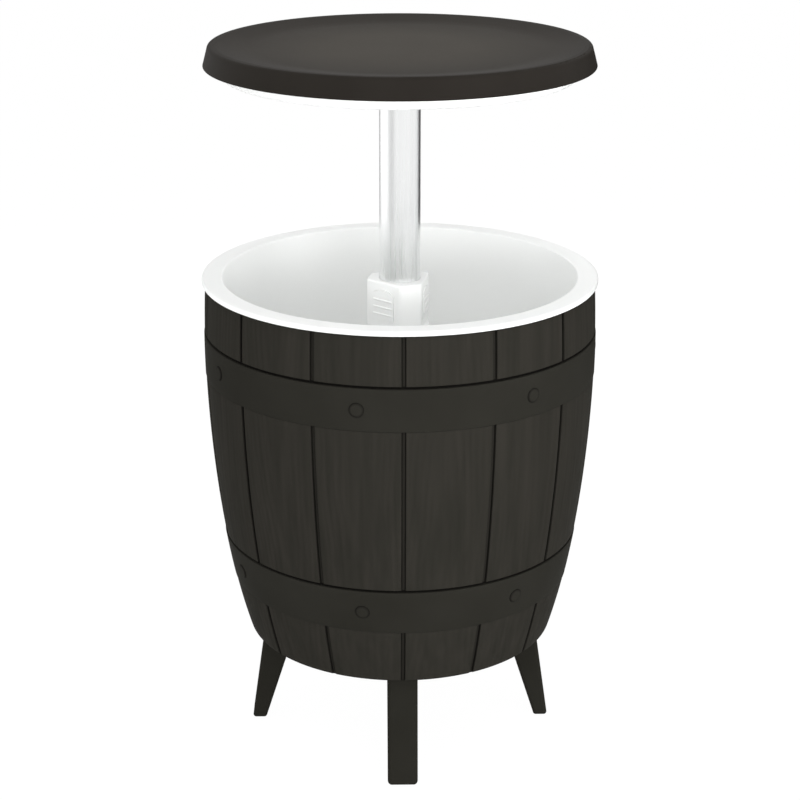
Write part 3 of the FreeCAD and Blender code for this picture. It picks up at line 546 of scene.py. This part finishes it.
def grain_pattern(draw):
    """One stave's growth rings: depth of a grain line, from 0 to 1, across and up the stave."""
    aside = draw.uniform(-HEART_ASIDE, HEART_ASIDE)
    behind = draw.uniform(*HEART_BEHIND)
    lean = draw.choice((-1, 1)) * draw.uniform(*RING_LEAN)
    strength = draw.uniform(*RING_STRENGTH)
    seed = draw.uniform(0, NOISE_PLACES)

    def wander(across, height, width, length, shift):
        return noise.noise(Vector((across / width, height / length, seed + shift)))

    def depth(across, height):
        x = across - aside + SWAY * wander(0, height, 1, SWAY_LENGTH, 0)
        ring = math.hypot(x, behind) + lean * height
        for size, width, length, shift in WAVERS:
            ring += size * wander(across, height, width, length, shift)
        phase = ring / GRAIN_SPACING % 1.0 - 0.5
        line = math.exp(-(phase / GRAIN_WIDTH) ** 2)
        fade = LINE_FADE_MIDDLE + LINE_FADE_SWING * wander(across, height, *LINE_FADE)
        return line * strength * min(1.0, max(LINE_FADE_LEAST, fade))

    return depth


def carve_staves(bm):
    """Moves the turned wall's outer points to the staves: grooves, rounded edges and grain; marks
    painted shade in grooves and seats.
    """
    columns = stave_columns()
    steps = len(columns) * STAVES
    draw = random.Random(GRAIN_SEED)
    patterns = [grain_pattern(draw) for _ in range(STAVES)]
    grain = bm.verts.layers.float.new("grain")
    stave = bm.verts.layers.float.new("stave")
    recess_shade = bm.verts.layers.float.new("recess_shade")
    for vert in bm.verts:
        height = vert.co.z
        reach = side(height)
        depth = reach - math.hypot(vert.co.x, vert.co.y)
        step = round(math.atan2(vert.co.x, -vert.co.y) % FULL_TURN / FULL_TURN * steps) % steps
        number, column = divmod(step, len(columns))
        share, offset, groove, shade = columns[column]
        pitch = FULL_TURN * reach / STAVES
        across = share * pitch + offset
        vert[stave] = number
        if depth < OUTER_DEPTH:
            bare = depth < BARE_DEPTH
            # painted shade: darker the deeper a point lies in a groove or hoop seat
            vert[recess_shade] = min(1.0, max(shade, depth / RECESS_SHADE_FULL))
            depth = max(depth, groove)
            if bare and groove == 0.0:
                edge = min(across, pitch - across) - GROOVE_HALF - STAVE_ROUNDING
                line = patterns[number](across - pitch / 2, height)
                vert[grain] = line * min(1, edge / GRAIN_MARGIN)
                depth += GRAIN_DEPTH * vert[grain]
        place = facing(FULL_TURN * number / STAVES + across / reach) * (reach - depth)
        vert.co = (place.x, place.y, height)


def barrel_shell(finish):
    """Barrel wall with carved staves."""
    bm = bmesh.new()
    spun(bm, barrel_outline(), len(stave_columns()), STAVES)
    carve_staves(bm)
    made(bm, "barrel_staves", "base", "stave_plastic", finish, "barrel_shell")


# Hoops and their rivet heads

def hoop(name, finish):
    """Band that follows the barrel's side, with rounded edges."""
    low, high = (corner.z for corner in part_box(name))
    rows = span_rows(low, high, HOOP_ROUNDING, HOOP_ROUNDING)
    outline = [(side(height) + HOOP_PROUD - depth, height) for height, depth in rows]
    seat = GROOVE_DEPTH - HOOP_CLEARANCE
    outline += [(side(low) - seat, low), (side(high) - seat, high)]
    bm = bmesh.new()
    spun(bm, outline, HOOP_STEPS, RIVETS)
    made(bm, name + "_band", "base", "hoop_plastic", finish, name)


def drawn_up(bm, ring, levels):
    """Carries a round edge about the Z axis through (radius, level) pairs and closes the last."""
    for radius, level in levels:
        grown = bmesh.ops.extrude_edge_only(bm, edges=ring)["geom"]
        edges = [item for item in grown if isinstance(item, bmesh.types.BMEdge)]
        ring = [edge for edge in edges if edge.is_boundary]
        for vert in points_among(grown):
            out = Vector((vert.co.x, vert.co.y, 0)).normalized() * radius
            vert.co = (out.x, out.y, level)
    bmesh.ops.edgeloop_fill(bm, edges=ring)


def rivet_levels():
    """(radius, level) pairs up a rivet head, from its rim to its flat top."""
    levels = [(RIVET_RADIUS, 0.0)]
    for step in range(1, RIVET_STEPS + 1):
        angle = QUARTER_TURN * step / RIVET_STEPS
        inset = RIVET_EDGE * (1 - math.cos(angle))
        levels.append((RIVET_RADIUS - inset, RIVET_HEIGHT * math.sin(angle)))
    return levels


def rivet_heads(hoop_name, finish):
    """Low heads with softly rounded edges, square to the hoop, with painted shade round their
    flanks.
    """
    low, high = (corner.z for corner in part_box(hoop_name))
    height = (low + high) / 2
    lean = side(height + RIVET_RADIUS) - side(height - RIVET_RADIUS)
    foot = Matrix.Translation((0, 0, -RIVET_FOOT))
    bm = bmesh.new()
    recess_shade = bm.verts.layers.float.new("recess_shade")
    for number in range(RIVETS):
        before = set(bm.verts)
        bmesh.ops.create_circle(bm, cap_ends=True, segments=RIVET_SIDES, radius=RIVET_RADIUS,
                                matrix=foot)
        ring = once(edge for vert in new_points(bm, before) for edge in vert.link_edges)
        drawn_up(bm, ring, rivet_levels())
        head = new_points(bm, before)
        for vert in head:
            inset = RIVET_RADIUS - math.hypot(vert.co.x, vert.co.y)
            # painted shade round each rivet head's flank, darkest at its foot
            vert[recess_shade] = RIVET_SHADE * max(0.0, 1 - inset / RIVET_EDGE)
        out = facing(FIRST_RIVET + FULL_TURN * number / RIVETS)
        normal = out * 2 * RIVET_RADIUS - Vector((0, 0, lean))
        turn = normal.to_track_quat("Z", "Y").to_matrix().to_4x4()
        place = Matrix.Translation(out * (side(height) + HOOP_PROUD) + Vector((0, 0, height)))
        bmesh.ops.transform(bm, verts=head, matrix=place @ turn)
    made(bm, hoop_name + "_rivet_heads", "base", "hoop_plastic", finish, hoop_name + "_rivets")


# Screws

def separate_solids(name):
    """Points of each separate solid of a CAD node."""
    bm = bmesh.new()
    bm.from_mesh(nodes[name].data)
    bmesh.ops.remove_doubles(bm, verts=bm.verts, dist=MERGE)
    taken = set()
    solids = []
    for start in bm.verts:
        if start in taken:
            continue
        found = {start}
        front = {start}
        while front:
            front = {edge.other_vert(vert) for vert in front for edge in vert.link_edges} - found
            found |= front
        taken |= found
        solids.append([vert.co.copy() for vert in found])
    bm.free()
    return solids


def cross_head(bm, flat):
    """Flat disc facing -Z with a cross recess sunk in it; returns the disc's outer edges."""
    reach = flat * CROSS_SHARE
    grid = bmesh.ops.create_grid(bm, x_segments=CROSS_CELLS, y_segments=CROSS_CELLS, size=reach)
    cells = once(face for vert in grid["verts"] for face in vert.link_faces)
    edges = once(edge for vert in grid["verts"] for edge in vert.link_edges)
    bmesh.ops.reverse_faces(bm, faces=cells)
    rim = [edge for edge in edges if edge.is_boundary]
    for vert in once(vert for edge in rim for vert in edge.verts):
        vert.co = vert.co.normalized() * flat
    arms = []
    for cell in cells:
        middle = cell.calc_center_median()
        narrow, wide = sorted((abs(middle.x), abs(middle.y)))
        if narrow < CROSS_HALF_WIDTH * reach and wide < CROSS_REACH * reach:
            arms.append(cell)
    sunk = points_among(bmesh.ops.extrude_face_region(bm, geom=arms)["geom"])
    bmesh.ops.delete(bm, geom=arms, context="FACES")
    bmesh.ops.scale(bm, vec=(CROSS_TAPER, CROSS_TAPER, 1), verts=sunk)
    bmesh.ops.translate(bm, vec=(0, 0, CROSS_DEPTH * flat), verts=sunk)
    return rim


def add_screw(bm, points):
    """Cross-head screw in the place of a plain one, whose points are given."""
    low = Vector([min(point[axis] for point in points) for axis in range(3)])
    high = Vector([max(point[axis] for point in points) for axis in range(3)])
    middle = (low + high) / 2
    head = (high.x - low.x) / 2

    def levels_past(share):
        """Heights of the points farther from the axis than a share of the head's radius."""
        return [p.z for p in points if math.hypot(p.x - middle.x, p.y - middle.y) > share * head]

    rim = levels_past(RIM_SHARE)
    head_down = sum(rim) / len(rim) < middle.z
    levels = levels_past(HEAD_SHARE)
    height = max(levels) - low.z if head_down else high.z - min(levels)
    length = high.z - low.z
    shank = head / 2
    rounding = height / 2
    before = set(bm.verts)
    ring = cross_head(bm, head - rounding)
    rings = [(head - rounding + rounding * math.sin(angle), rounding * (1 - math.cos(angle)))
             for angle in HEAD_ANGLES]
    rings += [(head, height), (shank, height), (shank, length - shank)]
    rings.append((shank / TIP_TAPER, length))
    drawn_up(bm, ring, rings)
    turn = Matrix.Rotation(SCREW_TURN * (middle.x + 2 * middle.y) / MM, 4, "Z")
    flip = Matrix.Identity(4) if head_down else Matrix.Rotation(math.pi, 4, "X")
    place = Matrix.Translation((middle.x, middle.y, low.z if head_down else high.z))
    bmesh.ops.transform(bm, verts=new_points(bm, before), matrix=place @ flip @ turn)


def screws(name, body, finish):
    """Cross-head screws in the places of a node's plain ones."""
    bm = bmesh.new()
    for points in separate_solids(name):
        add_screw(bm, points)
    made(bm, name.replace("_screws", "_cross_screws"), body, "fastener_steel", finish, name)


# Studio: camera, lamps, floor and white surroundings

def add_camera():
    """Camera in the place found for the photograph's."""
    data = bpy.data.cameras.new("camera")
    data.lens = CAMERA_LENS
    data.sensor_width = CAMERA_SENSOR
    camera = bpy.data.objects.new("camera", data)
    camera.location = facing(CAMERA_AZIMUTH) * CAMERA_DISTANCE + Vector((0, 0, CAMERA_HEIGHT))
    camera.rotation_euler = (QUARTER_TURN - CAMERA_PITCH, 0, CAMERA_AZIMUTH)
    bpy.context.scene.collection.objects.link(camera)
    bpy.context.scene.camera = camera


def add_lamp(name, azimuth, elevation, distance, width, height, share):
    """Soft lamp; share is how bright a white card facing it looks."""
    data = bpy.data.lights.new(name, "AREA")
    data.shape = "RECTANGLE"
    data.size = width
    data.size_y = height
    data.energy = share * (math.pi * distance) ** 2
    lamp = bpy.data.objects.new(name, data)
    out = raised(math.radians(azimuth), math.radians(elevation))
    lamp.location = LAMP_AIM + out * distance
    lamp.rotation_euler = (-out).to_track_quat("-Z", "Y").to_euler()
    lamp.visible_camera = False
    lamp.visible_glossy = False
    bpy.context.scene.collection.objects.link(lamp)


def larger(tree, first, second):
    """The larger of two values."""
    node = tree.nodes.new("ShaderNodeMath")
    node.operation = "MAXIMUM"
    tree.links.new(first, node.inputs[0])
    tree.links.new(second, node.inputs[1])
    return node.outputs["Value"]


def seen_directly(tree):
    """1 for what the camera sees, straight or in a gloss or through glass, else 0."""
    path = tree.nodes.new("ShaderNodeLightPath")
    seen = path.outputs["Is Camera Ray"]
    for ray in ("Is Glossy Ray", "Is Transmission Ray"):
        seen = larger(tree, seen, path.outputs[ray])
    return seen


def add_surroundings():
    """White where the camera sees them; as light, bright on one side and dim on the other."""
    world = bpy.data.worlds.new("studio")
    world.use_nodes = True
    bpy.context.scene.world = world
    tree = world.node_tree
    plain = tree.nodes["Background"]
    plain.inputs["Color"].default_value = (1, 1, 1, 1)
    place = tree.nodes.new("ShaderNodeTexCoord")
    lean = tree.nodes.new("ShaderNodeVectorMath")
    lean.operation = "DOT_PRODUCT"
    lean.inputs[1].default_value = raised(AMBIENT_AZIMUTH, AMBIENT_RISE)
    tree.links.new(place.outputs["Generated"], lean.inputs[0])
    ambient = spread(tree, lean.outputs["Value"], AMBIENT_SHADE, AMBIENT_LIT, start=-1.0, end=1.0)
    tree.links.new(larger(tree, ambient, seen_directly(tree)), plain.inputs["Strength"])


def stage_finish(name):
    """Material with no shader yet, its node tree and the socket for one."""
    material = bpy.data.materials.new(name)
    material.use_nodes = True
    tree = material.node_tree
    tree.nodes.remove(tree.nodes["Principled BSDF"])
    return material, tree, tree.nodes["Material Output"].inputs["Surface"]


def mixed(tree, factor, first, second):
    """Shader between two shaders."""
    node = tree.nodes.new("ShaderNodeMixShader")
    tree.links.new(factor, node.inputs["Fac"])
    tree.links.new(first, node.inputs[1])
    tree.links.new(second, node.inputs[2])
    return node.outputs["Shader"]


def add_floor():
    """Pale floor that keeps the object's shadow, and lets a view from below through."""
    material, tree, surface = stage_finish("studio_floor")
    matt = tree.nodes.new("ShaderNodeBsdfDiffuse")
    matt.inputs["Color"].default_value = FLOOR_TONE
    glow = tree.nodes.new("ShaderNodeEmission")
    glow.inputs["Strength"].default_value = FLOOR_WHITE
    clear = tree.nodes.new("ShaderNodeBsdfTransparent")
    face = tree.nodes.new("ShaderNodeNewGeometry")
    share = spread(tree, seen_directly(tree), 0.0, FLOOR_GLOW, start=0.0, end=1.0)
    above = mixed(tree, share, matt.outputs["BSDF"], glow.outputs["Emission"])
    both = mixed(tree, face.outputs["Backfacing"], above, clear.outputs["BSDF"])
    tree.links.new(both, surface)
    bm = bmesh.new()
    bmesh.ops.create_grid(bm, x_segments=1, y_segments=1, size=FLOOR_HALF)
    floor = in_scene(bm, "floor", material)


def add_card(name, azimuth, distance, width, low, high, brightness):
    """Card dimmer at its foot, shown only in gloss and metal, so that round pieces look round."""
    material, tree, surface = stage_finish(name)
    glow = tree.nodes.new("ShaderNodeEmission")
    place = tree.nodes.new("ShaderNodeTexCoord")
    axes = tree.nodes.new("ShaderNodeSeparateXYZ")
    tree.links.new(place.outputs["Object"], axes.inputs["Vector"])
    strength = spread(tree, axes.outputs["Z"], CARD_FOOT * brightness, brightness,
                      start=0.0, end=CARD_FULL)
    tree.links.new(strength, glow.inputs["Strength"])
    tree.links.new(glow.outputs["Emission"], surface)
    bm = bmesh.new()
    bmesh.ops.create_grid(bm, x_segments=1, y_segments=1, size=0.5)
    angle = math.radians(azimuth)
    middle = facing(angle) * distance + Vector((0, 0, (low + high) / 2))
    turn = Matrix.Rotation(angle, 4, "Z") @ Matrix.Rotation(QUARTER_TURN, 4, "X")
    size = Matrix.Diagonal((width, high - low, 1, 1))
    bmesh.ops.transform(bm, verts=bm.verts, matrix=Matrix.Translation(middle) @ turn @ size)
    card = in_scene(bm, name, material)
    card.visible_camera = False
    card.visible_diffuse = False
    card.visible_shadow = False


def build():
    """Makes the new pieces and gives the CAD nodes that stay their finishes."""
    # hoop_plastic paints shade round the rivet heads
    hoops = moulded_finish("hoop_plastic", ("262521", "2A2925"), roughness=(0.6, 0.72),
                           specular=0.01, shade_recesses=True)
    # the table top's paler middle is painted light
    top = moulded_finish("top_plastic", ("1F1C19", "23201D"), roughness=(0.5, 0.62),
                         specular=0.055, painted_light_tones=("37332D", "3B3731"))
    legs = moulded_finish("leg_plastic", ("22211D", "262521"), roughness=(0.6, 0.72),
                          specular=0.01)
    white = moulded_finish("bucket_plastic", ("F8F9F8", "FAFBFA"), roughness=(0.32, 0.42),
                           specular=0.4, grain=900, relief=0.04)
    liner = moulded_finish("liner_plastic", ("F9FAF9", "FBFCFB"), roughness=(0.32, 0.42),
                           specular=0.4, grain=900, relief=0.04)
    collar = moulded_finish("collar_plastic", ("FAFBFA", "FCFDFC"), roughness=(0.28, 0.38),
                            specular=0.4, grain=1100, relief=0.04)
    bearing = moulded_finish("bearing_plastic", ("D9D9D5", "E0E0DC"), roughness=(0.4, 0.5),
                             specular=0.4, grain=900, relief=0.06)
    drain = moulded_finish("drain_plastic", ("BFC3C4", "C8CBCC"), roughness=(0.35, 0.45),
                           specular=0.4, grain=900, relief=0.05)
    tube = brushed_finish("tube_aluminium", ("F6F7F7", "FAFBFB"), roughness=(0.24, 0.34))
    steel = brushed_finish("fastener_steel", ("A9A9AA", "BCBCBC"), roughness=(0.28, 0.4))
    barrel_shell(stave_finish())
    for name in ("upper_hoop", "lower_hoop"):
        hoop(name, hoops)
        rivet_heads(name, hoops)
    dress(top, "table_top")
    dress(legs, "leg_front", "leg_right", "leg_back", "leg_left", "base_plate")
    dress(white, "cooler_bucket", "column_sleeve")
    dress(liner, "lid_liner")
    dress(collar, "lock_collar")
    dress(collar, "release_button_left", "release_button_right", "release_button_back")
    dress(bearing, "guide_bush", "post_slider", "post_socket")
    dress(drain, "drain_spout", "drain_nut", "drain_stopper")
    dress(rubber_finish(), "sleeve_seal", "stopper_washer")
    dress(tube, "post_tube")
    dress(steel, "socket_pin", "slider_pin")
    for name in ("sleeve_screws", "collar_screws", "base_screws", "leg_screws"):
        screws(name, "base", steel)
    for name in ("lid_screws", "socket_screws"):
        screws(name, "table", steel)


def light_studio():
    """Plain studio with soft lamps, and cards for the gloss."""
    bpy.context.scene.view_settings.view_transform = "Standard"
    add_surroundings()
    add_floor()
    add_camera()
    for lamp in LAMPS:
        add_lamp(*lamp)
    for card in CARDS:
        add_card(*card)


build()
light_studio()
